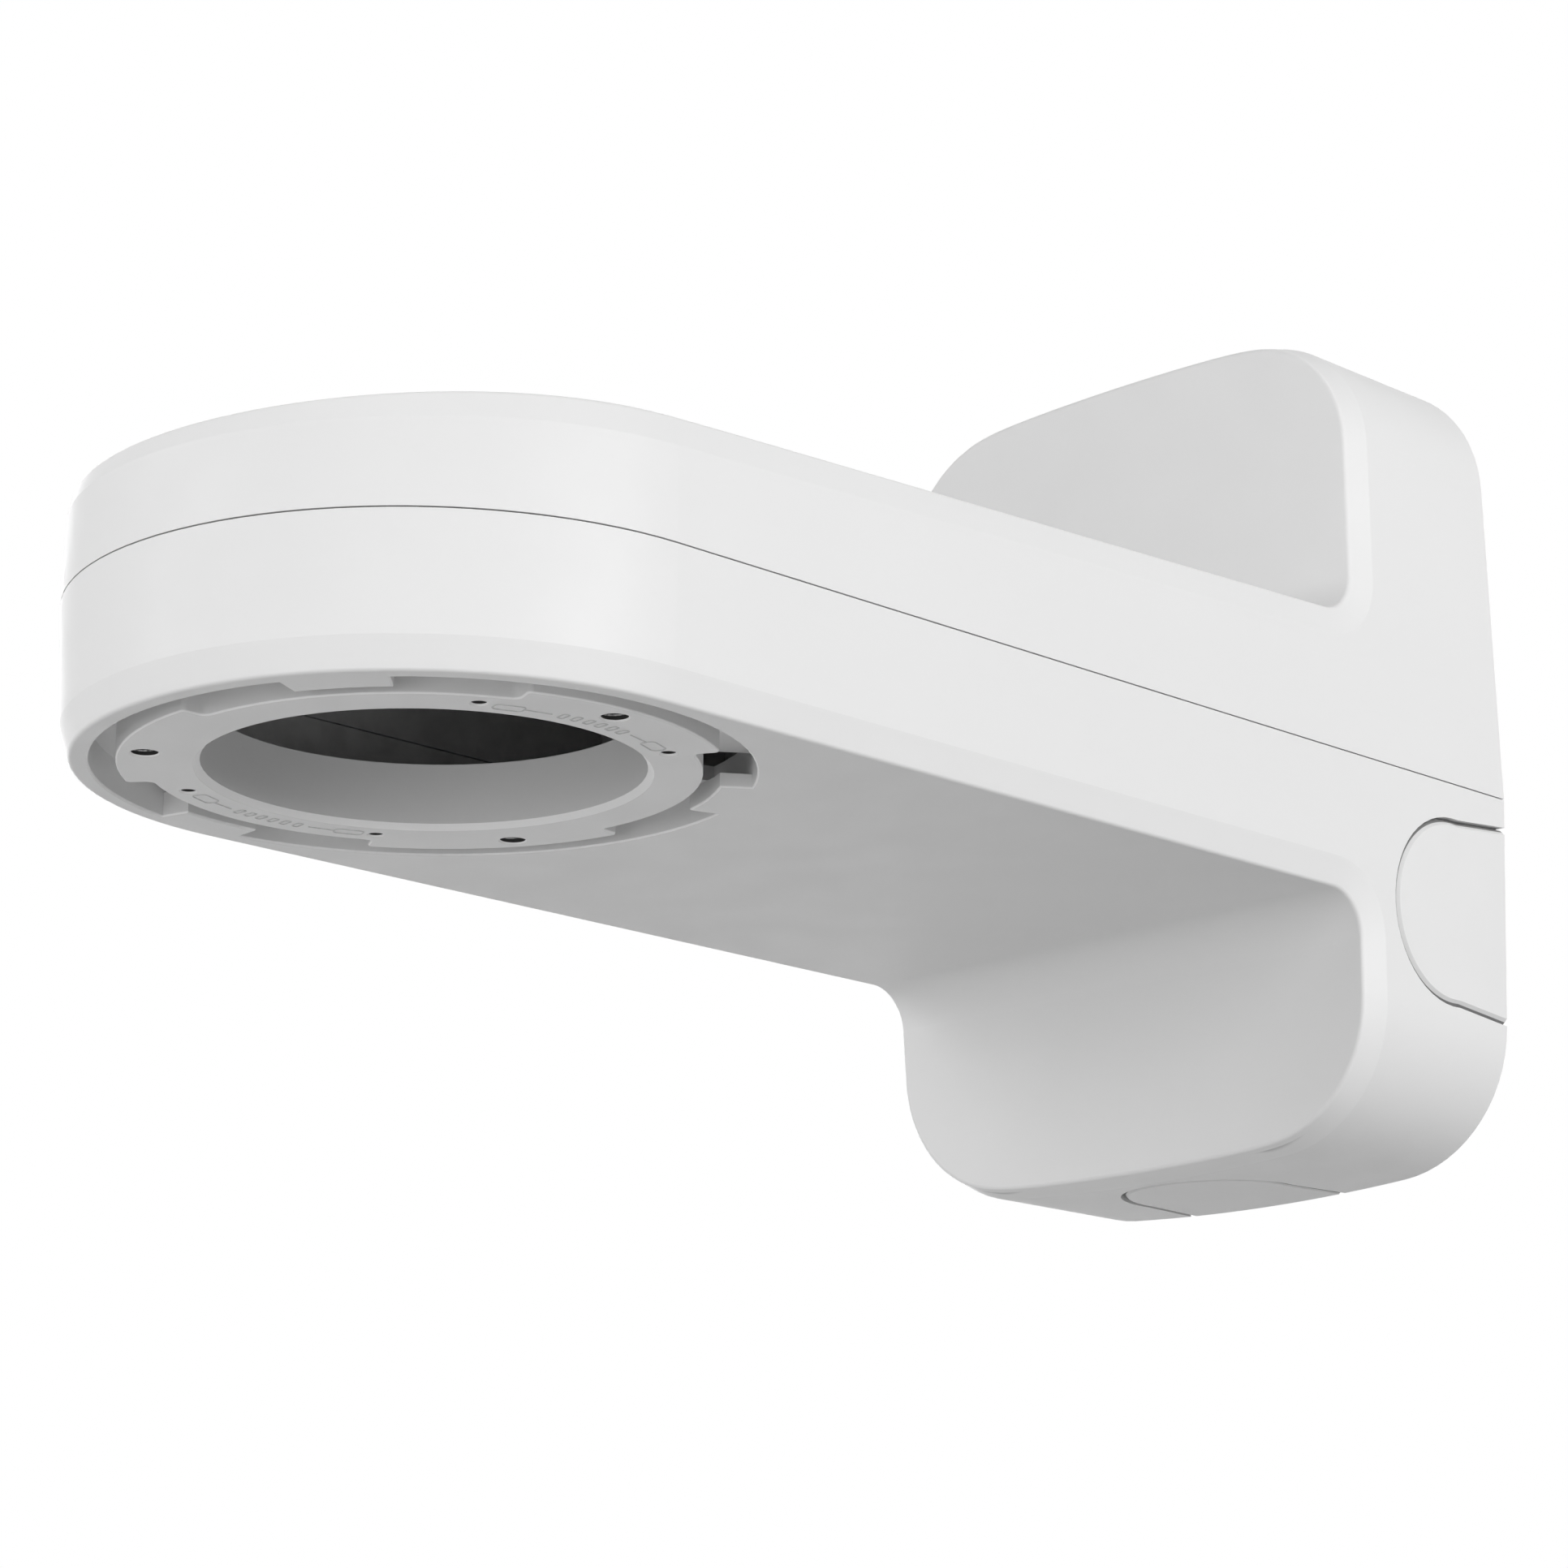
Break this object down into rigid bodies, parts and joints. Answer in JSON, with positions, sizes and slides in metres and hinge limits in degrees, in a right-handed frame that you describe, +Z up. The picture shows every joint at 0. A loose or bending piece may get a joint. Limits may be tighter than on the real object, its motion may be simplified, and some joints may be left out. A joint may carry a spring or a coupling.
{
  "type": "wall bracket",
  "caption": "Cantilever wall bracket with a wall box, a hollow arm and a round head whose bore, bayonet ring and screw lugs hang a camera below it.",
  "frame": {"origin": "centre of the four wall screws, on the wall plane", "axes": "+Y into the wall, -Y along the arm to the head, +Z up, +X to the right seen from the wall's front"},
  "size_m": [0.1364, 0.315, 0.1825],
  "materials": {
    "painted_casting": "satin white powder coat on cast aluminium",
    "white_plastic": "matte white moulding",
    "white_rubber": "matte light grey rubber",
    "black_rubber": "matte black rubber",
    "foam": "closed-cell foam",
    "stainless": "plain stainless steel",
    "brass": "plain brass",
    "black_nylon": "matte black moulding"
  },
  "bodies": {
    "root": {"arm_base": "painted_casting", "top_cover": "painted_casting", "seam_seal": "black_rubber", "cable_grommet": "black_rubber", "conduit_seal_right": "black_rubber", "conduit_seal_left": "black_rubber", "conduit_seal_bottom": "black_rubber", "screw_hole_plugs": "white_rubber", "wall_gasket": "foam", "conduit_cover_right": "white_plastic", "conduit_cover_left": "white_plastic", "conduit_cover_bottom": "white_plastic", "cover_screws": "stainless", "cover_screw_washers": "stainless", "locating_pins": "stainless", "safety_wire_anchor": "stainless", "anchor_screw": "stainless", "cable_clamp_screw": "stainless", "earth_screw": "brass", "earth_washer": "stainless", "cable_clamp": "black_nylon"}
  },
  "joints": []
}
